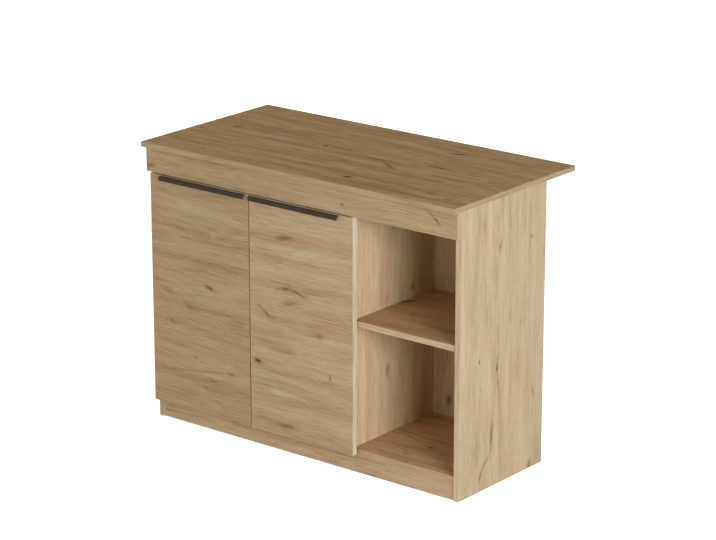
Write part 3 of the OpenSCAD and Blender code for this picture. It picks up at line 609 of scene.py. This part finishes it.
# Knots, cracks and pale streaks that show on each board, in mm and degrees from the grain: middle along,
# middle across, length, turn, width, strength
MARKS = {
    "left_door": (
        (-518, 654, 14, -43, 5, 0.35), (-450, 644, 64, -2, 4, 0.4), (-342, 640, 14, 86, 3, 0.4),
        (-293, 641, 30, 5, 3, 0.35), (-342, 476, 32, -18, 7, 0.7), (-509, 431, 39, -16, 12, 0.3),
        (-426, 401, 40, -22, 14, 0.35), (-499, 340, 20, -18, 8, 0.45), (-241, 544, 56, 2, 6, 0.3),
        (-412, 192, 300, 8, 5, 0.3), (-258, 213, 22, 0, 5, 0.65), (-404, 238, 10, -6, 5, 0.5),
        (-332, 175, 59, 2, 6, 0.35), (-367, 280, 95, -5, 4, 0.25),
    ),
    "right_door": (
        (-42, 691, 59, 8, 10, 0.6), (-56, 683, 28, 7, 6, 0.4), (-64, 528, 26, 17, 4, 0.35),
        (-34, 534, 35, 4, 6, 0.6), (9, 529, 52, -15, 6, 0.6), (-21, 490, 49, 15, 9, 0.45),
        (-133, 456, 31, -26, 5, 0.4), (-110, 439, 32, -38, 6, 0.55), (-149, 283, 20, -6, 9, 0.95),
        (95, 411, 20, 3, 11, 0.4), (134, 287, 11, 90, 4, 0.75), (-43, 96, 63, 5, 10, 0.5),
        (68, 264, 35, -22, 3, 0.25), (132, 271, 71, 5, 3, 0.3), (-47, 199, 93, 3, 14, -0.35),
        (41, 659, 90, 8, 12, -0.3),
    ),
    "front_apron": (
        (179, 834, 9, -8, 4, 0.7), (-578, 826, 28, 11, 7, 0.5), (-248, 869, 36, 2, 3, 0.35),
        (-218, 846, 24, 2, 3, 0.35), (506, 862, 25, -33, 5, 0.45), (525, 847, 24, -41, 5, 0.6),
    ),
    "worktop": (
        (-485, 21, 20, 1, 7, 0.6), (-123, 12, 14, -3, 7, 0.85), (-84, 14, 60, 3, 3, 0.5),
        (-187, -3, 116, 17, 3, 0.3), (-158, -79, 14, 13, 8, 0.45), (151, -221, 21, 7, 9, 0.9),
        (-394, -243, 16, 3, 7, 0.45), (-378, 87, 22, 16, 6, 0.35), (93, -12, 71, -1, 6, 0.6),
        (172, -51, 53, -33, 9, 0.55), (256, 187, 37, 17, 8, 0.7), (300, 24, 61, 1, 6, 0.7),
        (389, -94, 25, 13, 7, 0.35), (445, -211, 17, -8, 8, 0.45), (529, -232, 19, 26, 7, 0.5),
        (-53, 25, 59, -1, 4, 0.5),
    ),
    "right_side_panel": (
        (736, -72, 27, 11, 7, 0.5), (731, 85, 6, -2, 5, 0.6), (464, -77, 52, -4, 4, 0.35),
        (368, -80, 23, 7, 6, 0.8), (396, -77, 33, 6, 4, 0.5), (312, -74, 83, -5, 4, 0.55),
        (409, -168, 11, -1, 4, 0.75), (511, -19, 20, 12, 4, 0.55), (161, -104, 73, 3, 7, 0.55),
        (88, -131, 61, 42, 4, 0.45), (49, -157, 35, 19, 5, 0.6), (13, 91, 19, 14, 9, 0.5),
        (243, 105, 35, -14, 6, 0.35), (815, -150, 39, 5, 7, 0.3), (416, -258, 758, 1, 12, -0.4),
    ),
    "partition": (
        (276, -97, 29, -2, 6, 0.6), (514, 26, 16, -1, 11, 0.5), (513, -96, 28, 20, 6, 0.3),
        (364, -115, 45, -13, 4, 0.25),
    ),
    "back_panel": ((131, 265, 28, 10, 9, 0.7), (560, -300, 24, 8, 8, 0.6), (300, -420, 20, -6, 7, 0.6)),
    "bottom_panel": (
        (312, -93, 139, -20, 3, 0.45), (385, -115, 13, 0, 8, 0.8), (353, -200, 6, 39, 8, 0.55),
        (243, -50, 70, -8, 14, 0.25),
    ),
    "bay_shelf": ((220, -16, 44, 65, 9, 0.7), (306, -106, 12, 39, 8, 0.55)),
    "left_side_panel": ((620, -60, 30, 6, 8, 0.6), (240, 40, 44, -5, 6, 0.5), (420, 90, 12, 3, 5, 0.7)),
    "rear_plinth": ((-180, 30, 24, 4, 8, 0.5),),
    "cupboard_shelf": ((-300, -60, 26, 5, 8, 0.6), (60, 30, 18, -4, 6, 0.6)),
}

# Each board: its axes along, across and through the grain, the face that shows, and the banded sides
BOARDS = {
    "worktop": ("xyz", "+z", "-x +x -y +y"),
    "front_apron": ("xzy", "-y", "-x +x -z +z"),
    "left_side_panel": ("zyx", "-x", "-y +y"),
    "right_side_panel": ("zyx", "+x", "-y +y"),
    "partition": ("zyx", "+x", "-y"),
    "bottom_panel": ("xyz", "+z", "-y +y"),
    "back_panel": ("zxy", "-y", ""),
    "front_plinth": ("xzy", "-y", ""),
    "rear_plinth": ("xzy", "+y", ""),
    "plinth_support": ("yzx", "-x", ""),
    "cupboard_front_rail": ("xyz", "-z", "-y +y"),
    "cupboard_rear_rail": ("xyz", "-z", "-y"),
    "bay_front_rail": ("xyz", "-z", "-y +y"),
    "bay_rear_rail": ("xyz", "-z", "-y"),
    "bay_shelf": ("xyz", "+z", "-y"),
    "cupboard_shelf": ("xyz", "+z", "-y +y -x +x"),
    "left_door": ("xzy", "-y", "-x +x -z +z"),
    "right_door": ("xzy", "-y", "-x +x -z +z"),
}


# Metres along the printed sheet to the first board's stretch, and from there to each next board's
FIRST_STRETCH, NEXT_STRETCH = 1.7, 2.3
# How much the melamine shines: the worktop's is pressed dead matt
BOARD_GLOSS, WORKTOP_GLOSS = 0.06, 0.0

# Painted light and shade on whole boards, as shares of their red, green and blue: the bay's back panel,
# shelf and bottom panel are lighter and warmer as painted bounce light inside the bay, the partition and the
# front plinth lighter as painted light, the right door lighter and bluer as painted light from the right,
# the right side panel darker as painted shade, and the rear plinth lighter to match the front one
PAINTED_LIGHT_AND_SHADE = {
    "right_door": (1.11, 1.13, 1.20), "front_plinth": (1.15, 1.17, 1.24), "partition": (1.11, 1.12, 1.10),
    "right_side_panel": (0.93, 0.95, 0.99), "back_panel": (1.05, 0.97, 0.90), "bay_shelf": (1.30, 1.16, 1.08),
    "bottom_panel": (1.32, 1.22, 1.12), "rear_plinth": (1.18, 1.15, 1.12),
}
# Edge bands' tones as shares of their roll's: the left door's meeting edge is darkened as painted shade in
# the gap between the doors, and the left side panel's front band as painted shade where it shows under the
# door; the right side panel's front band and the apron's right end take back part of the pale tone's painted
# light; the right door's right band is bluer as painted light from the right; the rest only shift a band's
# tone
BAND_TONES_PAINTED_LIGHT_AND_SHADE = {
    ("left_door", "+x"): (0.42, 0.30, 0.19), ("left_side_panel", "-y"): (0.60, 0.57, 0.52),
    ("right_side_panel", "-y"): (0.80, 0.78, 0.75), ("front_apron", "+x"): (0.68, 0.65, 0.60),
    ("bay_shelf", "-y"): (0.78, 0.72, 0.66), ("bottom_panel", "-y"): (1.10, 1.06, 1.00),
    ("worktop", "-y"): (0.95, 0.93, 0.92), ("worktop", "+x"): (0.93, 0.93, 0.93),
    ("right_door", "+x"): (0.98, 1.05, 1.08),
}
SIDE_WORDS = {"-x": "left", "+x": "right", "-y": "front", "+y": "rear", "-z": "lower", "+z": "upper"}


def dress_board(node, settings):
    """Makes one board, its decor cut from another stretch of the sheet than its neighbours'."""
    axes, side, banded = BOARDS[node]
    low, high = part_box(node)
    face = plane_of(side, low, high)[2]
    shift = FIRST_STRETCH + NEXT_STRETCH * list(BOARDS).index(node)
    if node == "worktop":
        oak, contrast, gloss = settings.worktop_oak, settings.worktop_contrast, WORKTOP_GLOSS
    elif axes[0] == "z":
        oak, contrast, gloss = settings.upright_oak, settings.upright_contrast, BOARD_GLOSS
    else:
        oak, contrast, gloss = settings.lying_oak, settings.lying_contrast, BOARD_GLOSS
    # The board's tone, with the painted light and shade that the table gives some boards
    middle = shaded(oak, PAINTED_LIGHT_AND_SHADE.get(node, AS_IT_IS))
    marks = MARKS.get(node, ())
    decor = oak_decor("oak_melamine_" + node, axes, face, shift, middle, contrast, gloss, marks)
    edges = {}
    for side in banded.split():
        along = next(axis for axis in AXES if axis not in (side[1], axes[2]))
        # Upright bands and the bay shelf's take the pale tone, which is partly painted light; the others the
        # lying oak
        roll = settings.pale_band if along == "z" or node == "bay_shelf" else settings.lying_oak
        tone = shaded(roll, BAND_TONES_PAINTED_LIGHT_AND_SHADE.get((node, side), AS_IT_IS))
        edges[side] = edge_band("oak_edge_band_%s_%s" % (node, SIDE_WORDS[side]), along, tone)
    raw = bpy.data.materials.get("raw_chipboard") or raw_chipboard()
    banded_board(node, axes, decor, edges, raw, settings)


# Settings

# Width of the photograph, in pixels
PHOTO_WIDTH = 716


class CabinetBoards(bpy.types.PropertyGroup):
    """Sizes and looks of the boards."""

    lying_oak: bpy.props.FloatVectorProperty(
        name="Lying oak", description="Middle tone of the boards whose grain runs level",
        subtype="COLOR", size=4, min=0, max=1, default=linear("#AE9470"),
    )
    # Lighter and paler than the lying oak, partly as painted light on the sides that face the light on the
    # right
    upright_oak: bpy.props.FloatVectorProperty(
        name="Upright oak", description="Middle tone of the boards whose grain stands upright",
        subtype="COLOR", size=4, min=0, max=1, default=linear("#C6AD89"),
    )
    worktop_oak: bpy.props.FloatVectorProperty(
        name="Worktop oak", description="Middle tone of the worktop",
        subtype="COLOR", size=4, min=0, max=1, default=linear("#BE9C73"),
    )
    # Paler than the boards, partly as painted highlight on the upright edges that face the light on the right
    pale_band: bpy.props.FloatVectorProperty(
        name="Pale edge bands",
        description="Middle tone of the edge bands that stand upright, and of the shelf's",
        subtype="COLOR", size=4, min=0, max=1, default=linear("#D8C1A0"),
    )
    edge_radius: bpy.props.FloatProperty(
        name="Edge radius", description="Radius along each board's outer edges",
        default=0.6 * MM, min=0.1 * MM, max=2 * MM, unit="LENGTH", precision=4,
    )
    tape_thickness: bpy.props.FloatProperty(
        name="Edge band", description="Thickness of the edge bands",
        default=0.8 * MM, min=0.4 * MM, max=2 * MM, unit="LENGTH", precision=4,
    )
    lying_contrast: bpy.props.FloatProperty(
        name="Lying grain contrast",
        description="How strongly the grain stands out on boards whose grain runs level",
        default=1.2, min=0.2, max=3.0,
    )
    upright_contrast: bpy.props.FloatProperty(
        name="Upright grain contrast",
        description="How strongly the grain stands out on boards whose grain is upright",
        default=0.95, min=0.2, max=3.0,
    )
    worktop_contrast: bpy.props.FloatProperty(
        name="Worktop grain contrast", description="How strongly the grain stands out on the worktop",
        default=1.6, min=0.2, max=3.0,
    )


class CabinetFittings(bpy.types.PropertyGroup):
    """Sizes and colours of the handles and fittings."""

    handle_colour: bpy.props.FloatVectorProperty(
        name="Handle colour", description="Colour of the anodised handles",
        subtype="COLOR", size=4, min=0, max=1, default=linear("#3D372D"),
    )
    handle_radius: bpy.props.FloatProperty(
        name="Handle edge radius", description="Radius along the handle profile's edges",
        default=0.35 * MM, min=0.1 * MM, max=0.6 * MM, unit="LENGTH", precision=4,
    )
    plate_radius: bpy.props.FloatProperty(
        name="Plate edge radius", description="Radius along the edges of plates and housings",
        default=0.2 * MM, min=0.05 * MM, max=0.4 * MM, unit="LENGTH", precision=4,
    )


class CabinetStage(bpy.types.PropertyGroup):
    """The floor, the lights and the camera."""

    camera_place: bpy.props.FloatVectorProperty(
        name="Camera", description="Where the camera stands", subtype="TRANSLATION", unit="LENGTH", size=3,
        default=(5.0491, -6.2968, 3.0600),
    )
    camera_yaw: bpy.props.FloatProperty(
        name="Camera yaw", description="How far the camera is turned to the left",
        subtype="ANGLE", default=0.67459,
    )
    camera_pitch: bpy.props.FloatProperty(
        name="Camera pitch", description="How far the camera looks down",
        subtype="ANGLE", default=0.30369,
    )
    focal_px: bpy.props.FloatProperty(
        name="Focal length in pixels",
        description="Focal length for an image %d pixels wide" % PHOTO_WIDTH, default=2766.7,
    )
    floor_size: bpy.props.FloatProperty(
        name="Floor size", description="Side of the square floor", default=40.0, unit="LENGTH",
    )
    floor_glow: bpy.props.FloatProperty(
        name="Floor glow", description="How much the floor is lifted to white where it is seen",
        default=0.85, min=0,
    )
    horizon_level: bpy.props.FloatProperty(
        name="Horizon level", description="Strength of the even light from the sides", default=0.22, min=0,
    )
    zenith_level: bpy.props.FloatProperty(
        name="Zenith level", description="Strength of the even light from overhead", default=0.38, min=0,
    )
    key_power: bpy.props.FloatProperty(
        name="Key light", description="Power of the light on the right, in watts", default=401.0, min=0,
    )
    fill_power: bpy.props.FloatProperty(
        name="Fill light", description="Power of the light in front, in watts", default=85.0, min=0,
    )
    back_power: bpy.props.FloatProperty(
        name="Back light", description="Power of the light behind, in watts", default=110.0, min=0,
    )


# Operators

class CABINET_OT_worktop(bpy.types.Operator):
    """Dresses the worktop and the apron under its front edge"""

    bl_idname = "cabinet.worktop"
    bl_label = "Worktop and apron"

    def execute(self, context):
        for node in ("worktop", "front_apron"):
            dress_board(node, context.scene.cabinet_boards)
        return {"FINISHED"}


class CABINET_OT_uprights(bpy.types.Operator):
    """Dresses the side panels, the partition and the back panel"""

    bl_idname = "cabinet.uprights"
    bl_label = "Upright boards"

    def execute(self, context):
        for node in ("left_side_panel", "right_side_panel", "partition", "back_panel"):
            dress_board(node, context.scene.cabinet_boards)
        return {"FINISHED"}


class CABINET_OT_lying_boards(bpy.types.Operator):
    """Dresses the bottom panel, the shelves, the rails and the plinth"""

    bl_idname = "cabinet.lying_boards"
    bl_label = "Shelves, rails and plinth"

    def execute(self, context):
        for node in (
            "bottom_panel", "bay_shelf", "cupboard_shelf", "cupboard_front_rail", "cupboard_rear_rail",
            "bay_front_rail", "bay_rear_rail", "front_plinth", "rear_plinth", "plinth_support",
        ):
            dress_board(node, context.scene.cabinet_boards)
        return {"FINISHED"}


class CABINET_OT_doors(bpy.types.Operator):
    """Dresses the two doors"""

    bl_idname = "cabinet.doors"
    bl_label = "Doors"

    def execute(self, context):
        for node in ("left_door", "right_door"):
            dress_board(node, context.scene.cabinet_boards)
        return {"FINISHED"}


class CABINET_OT_handles(bpy.types.Operator):
    """Dresses the two handle profiles"""

    bl_idname = "cabinet.handles"
    bl_label = "Handles"

    def execute(self, context):
        fittings = context.scene.cabinet_fittings
        metal = anodised_aluminium(tuple(fittings.handle_colour))
        for node in ("left_handle", "right_handle"):
            rounded_copy(node, fittings.handle_radius, metal)
        return {"FINISHED"}


class CABINET_OT_plates(bpy.types.Operator):
    """Dresses the hinge plates, strike plates, catches and corner braces"""

    bl_idname = "cabinet.plates"
    bl_label = "Plates and catches"

    def execute(self, context):
        radius = context.scene.cabinet_fittings.plate_radius
        for node in (
            "left_upper_hinge_plate", "left_lower_hinge_plate", "right_upper_hinge_plate",
            "right_lower_hinge_plate", "left_strike_plate", "right_strike_plate", "corner_braces",
            "magnet_catches", "catch_magnets",
        ):
            rounded_copy(node, radius, fitting_material(SLOT_OF[node]))
        return {"FINISHED"}


class CABINET_OT_small_fittings(bpy.types.Operator):
    """Gives the screws, pins, bushes, cams, bolts, dowels, bumpers and glides their finishes"""

    bl_idname = "cabinet.small_fittings"
    bl_label = "Small fittings"

    def execute(self, context):
        for name, node in NODES.items():
            if not node.hide_render:
                node.data.materials.clear()
                node.data.materials.append(fitting_material(SLOT_OF[name]))
        return {"FINISHED"}


class CABINET_OT_stage(bpy.types.Operator):
    """Sets up the floor, the lights, the world and the camera"""

    bl_idname = "cabinet.stage"
    bl_label = "Stage"

    def execute(self, context):
        stage = context.scene.cabinet_stage
        make_floor(stage)
        make_world(context.scene, stage)
        make_lights(stage)
        make_camera(context.scene, stage)
        context.scene.view_settings.view_transform = "Standard"
        return {"FINISHED"}


def seen_factor(tree):
    """One where the camera sees a surface straight, in a reflection or through glass."""
    rays = add_node(tree, "ShaderNodeLightPath")
    mirrored = add_node(
        tree, "ShaderNodeMath", {0: rays.outputs["Is Glossy Ray"], 1: rays.outputs["Is Transmission Ray"]},
        operation="MAXIMUM",
    ).outputs[0]
    return add_node(
        tree, "ShaderNodeMath", {0: rays.outputs["Is Camera Ray"], 1: mirrored}, operation="MAXIMUM",
    ).outputs[0]


def make_floor(stage):
    """A plain white floor that shows the cabinet's soft shadow."""
    bpy.ops.object.select_all(action="DESELECT")
    bpy.ops.mesh.primitive_plane_add(size=stage.floor_size, location=(0, 0, 0))
    floor = bpy.context.active_object
    floor.name = "studio_floor"
    material, tree, shader = new_material("studio_floor_white")
    shader.inputs["Base Color"].default_value = linear("#F0F0F0")
    shader.inputs["Roughness"].default_value = 0.9
    shader.inputs["Specular IOR Level"].default_value = 0.0
    glow = add_node(
        tree, "ShaderNodeMath", {0: seen_factor(tree), 1: stage.floor_glow}, operation="MULTIPLY",
    ).outputs[0]
    shader.inputs["Emission Color"].default_value = (1, 1, 1, 1)
    tree.links.new(glow, shader.inputs["Emission Strength"])
    floor.data.materials.append(material)


def make_world(scene, stage):
    """White where it is seen. The light that it gives is brighter from overhead than from the sides."""
    world = bpy.data.worlds.new("studio_world")
    scene.world = world
    world.use_nodes = True
    tree = world.node_tree
    tree.nodes.clear()
    direction = add_node(tree, "ShaderNodeTexCoord").outputs["Generated"]
    height = add_node(tree, "ShaderNodeSeparateXYZ", {"Vector": direction}).outputs["Z"]
    # Full overhead light from about 45 degrees up
    given = add_node(
        tree, "ShaderNodeMapRange",
        {
            "Value": height, "From Min": 0.0, "From Max": 0.7, "To Min": stage.horizon_level,
            "To Max": stage.zenith_level,
        },
    ).outputs[0]
    strength = add_node(
        tree, "ShaderNodeMapRange", {"Value": seen_factor(tree), "To Min": given, "To Max": 1.0},
    ).outputs[0]
    light = add_node(tree, "ShaderNodeBackground", {"Color": (1, 1, 1, 1), "Strength": strength})
    add_node(tree, "ShaderNodeOutputWorld", {"Surface": light.outputs[0]})


# Each light's place, side length, both in metres, and colour
KEY_LIGHT = ((6.6, -3.5, 2.1), 3.0, (0.97, 1.0, 1.06))
FILL_LIGHT = ((-0.5, -6.5, 1.5), 4.0, (1.0, 1.0, 1.0))
BACK_LIGHT = ((-4.0, 5.0, 1.2), 3.0, (1.0, 1.0, 1.0))
# The cabinet's middle, which the lights point at
LIT_POINT = Vector((0, 0, 0.45))


def make_lights(stage):
    """A large light low on the right, a weaker one in front and one behind on the left."""
    for name, (place, side, colour), power in (
        ("key_light", KEY_LIGHT, stage.key_power),
        ("fill_light", FILL_LIGHT, stage.fill_power),
        ("back_light", BACK_LIGHT, stage.back_power),
    ):
        bpy.ops.object.light_add(type="AREA", location=place)
        light = bpy.context.active_object
        light.name = name
        light.rotation_euler = (LIT_POINT - Vector(place)).to_track_quat("-Z", "Y").to_euler()
        light.data.shape = "SQUARE"
        light.data.size = side
        light.data.color = colour
        light.data.energy = power


def make_camera(scene, stage):
    """The camera stands and looks as the photograph's did."""
    bpy.ops.object.camera_add(
        location=stage.camera_place, rotation=(math.pi / 2 - stage.camera_pitch, 0, stage.camera_yaw),
    )
    camera = bpy.context.active_object
    camera.name = "photo_camera"
    camera.data.sensor_fit = "HORIZONTAL"
    camera.data.sensor_width = 36.0
    camera.data.lens = camera.data.sensor_width * stage.focal_px / PHOTO_WIDTH
    camera.data.clip_end = 100.0
    scene.camera = camera


class CABINET_PT_panel(bpy.types.Panel):
    """The cabinet's steps and settings"""

    bl_label = "Kitchen bar cabinet"
    bl_idname = "CABINET_PT_panel"
    bl_space_type = "VIEW_3D"
    bl_region_type = "UI"
    bl_category = "Cabinet"

    def draw(self, context):
        for group in ("cabinet_boards", "cabinet_fittings", "cabinet_stage"):
            box = self.layout.box()
            settings = getattr(context.scene, group)
            for name in type(settings).__annotations__:
                box.prop(settings, name)
        for operator in OPERATORS:
            self.layout.operator(operator.bl_idname)


OPERATORS = (
    CABINET_OT_worktop, CABINET_OT_uprights, CABINET_OT_lying_boards, CABINET_OT_doors,
    CABINET_OT_handles, CABINET_OT_plates, CABINET_OT_small_fittings, CABINET_OT_stage,
)
GROUPS = {"cabinet_boards": CabinetBoards, "cabinet_fittings": CabinetFittings, "cabinet_stage": CabinetStage}


def register():
    for group in GROUPS.values():
        bpy.utils.register_class(group)
    for name, group in GROUPS.items():
        setattr(bpy.types.Scene, name, bpy.props.PointerProperty(type=group))
    for operator in OPERATORS:
        bpy.utils.register_class(operator)
    bpy.utils.register_class(CABINET_PT_panel)


def unregister():
    bpy.utils.unregister_class(CABINET_PT_panel)
    for operator in reversed(OPERATORS):
        bpy.utils.unregister_class(operator)
    for name in GROUPS:
        delattr(bpy.types.Scene, name)
    for group in reversed(list(GROUPS.values())):
        bpy.utils.unregister_class(group)


def main():
    """Dresses the whole cabinet."""
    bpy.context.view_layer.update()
    register()
    bpy.ops.cabinet.worktop()
    bpy.ops.cabinet.uprights()
    bpy.ops.cabinet.lying_boards()
    bpy.ops.cabinet.doors()
    bpy.ops.cabinet.handles()
    bpy.ops.cabinet.plates()
    bpy.ops.cabinet.small_fittings()
    bpy.ops.cabinet.stage()


if __name__ == "__main__":
    main()
